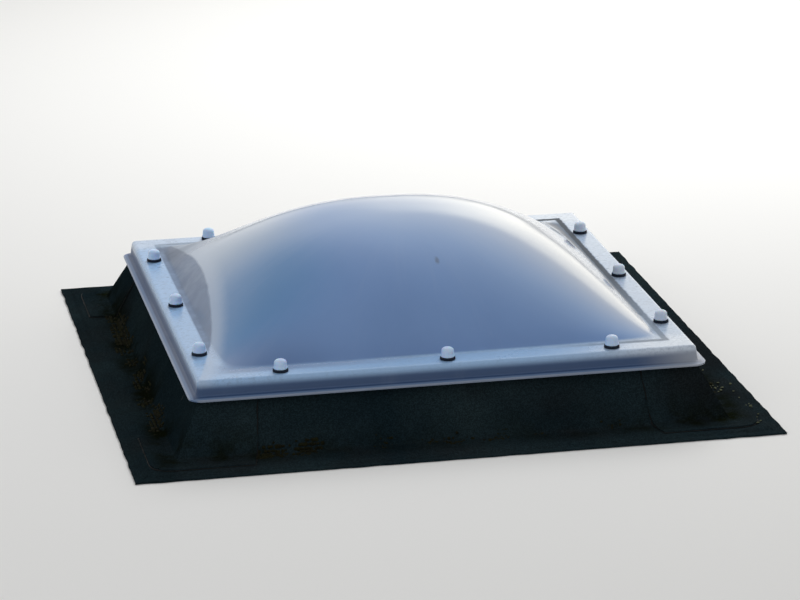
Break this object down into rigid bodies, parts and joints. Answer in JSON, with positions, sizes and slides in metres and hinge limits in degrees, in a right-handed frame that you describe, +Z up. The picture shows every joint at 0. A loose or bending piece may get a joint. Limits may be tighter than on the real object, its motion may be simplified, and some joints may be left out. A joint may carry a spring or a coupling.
{
  "type": "fixed dome roof skylight",
  "caption": "Square fixed dome skylight: opal blown dome with turned-down skirt, clear inner pane and insulated kerb dressed with roofing felt.",
  "frame": {"origin": "centre of the footprint, at the underside of the kerb's base flange, which is the top of the roof deck", "axes": "+Z up; +X and +Y along the square kerb's sides; the picture looks roughly along +Y and a little towards +X"},
  "size_m": [1.418, 1.418, 0.3585],
  "materials": {
    "opal_acrylic": "glossy opal acrylic, slightly weathered",
    "clear_acrylic": "clear polished sheet",
    "foam_tape": "closed-cell foam tape",
    "laminate": "glass-fibre laminate",
    "liner_laminate": "white gelcoat",
    "rigid_foam": "rigid foam",
    "timber": "sawn softwood",
    "roofing_felt": "mineral roofing felt, dirty, with a little moss",
    "screw_steel": "stainless",
    "washer_rubber": "sealing rubber",
    "cap_plastic": "pale translucent plastic"
  },
  "bodies": {
    "root": {"outer_dome": "opal_acrylic", "inner_pane": "clear_acrylic", "flange_spacer": "foam_tape", "kerb_gasket": "foam_tape", "kerb_outer_skin": "laminate", "kerb_inner_skin": "liner_laminate", "kerb_core": "rigid_foam", "batten_right": "timber", "batten_far": "timber", "batten_left": "timber", "batten_near": "timber", "felt_right": "roofing_felt", "felt_far": "roofing_felt", "felt_left": "roofing_felt", "felt_near": "roofing_felt", "felt_corner_far_right": "roofing_felt", "felt_corner_far_left": "roofing_felt", "felt_corner_near_left": "roofing_felt", "felt_corner_near_right": "roofing_felt", "screws": "screw_steel", "sealing_washers": "washer_rubber", "screw_caps": "cap_plastic"}
  },
  "joints": []
}
